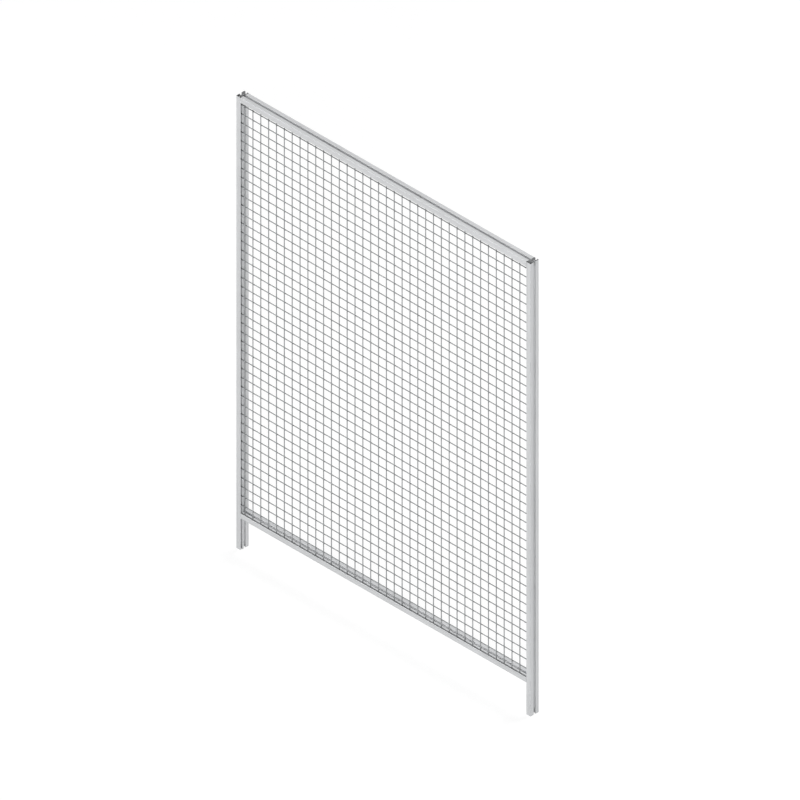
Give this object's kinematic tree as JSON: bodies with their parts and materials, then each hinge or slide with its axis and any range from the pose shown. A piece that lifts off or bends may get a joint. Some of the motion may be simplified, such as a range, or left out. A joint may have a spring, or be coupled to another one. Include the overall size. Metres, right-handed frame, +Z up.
{
  "type": "machine guard fence panel",
  "caption": "Framed wire-mesh guard panel of slotted aluminium extrusion, standing on two open-ended legs, with a gap under the bottom rail.",
  "frame": {"origin": "middle of the left post's foot, on the web between its two side T-slots, at floor level", "axes": "+X along the panel from the left post to the right post, +Y from the front to the back, +Z up"},
  "size_m": [1.5, 0.042, 1.99],
  "materials": {
    "natural_aluminium": "satin, clear anodised",
    "mesh_wire": "bright galvanised",
    "bracket_zinc": "zinc plated",
    "set_screw_steel": "black oxide"
  },
  "bodies": {
    "root": {"left_post": "natural_aluminium", "right_post": "natural_aluminium", "top_rail": "natural_aluminium", "bottom_rail": "natural_aluminium", "mesh_band_1": "mesh_wire", "mesh_band_2": "mesh_wire", "mesh_band_3": "mesh_wire", "mesh_band_4": "mesh_wire", "mesh_band_5": "mesh_wire", "bracket_bottom_left": "bracket_zinc", "bracket_bottom_right": "bracket_zinc", "bracket_top_left": "bracket_zinc", "bracket_top_right": "bracket_zinc", "rail_screw_bottom_left": "set_screw_steel", "rail_screw_bottom_right": "set_screw_steel", "rail_screw_top_left": "set_screw_steel", "rail_screw_top_right": "set_screw_steel", "post_screw_bottom_left": "set_screw_steel", "post_screw_bottom_right": "set_screw_steel", "post_screw_top_left": "set_screw_steel", "post_screw_top_right": "set_screw_steel"}
  },
  "joints": []
}
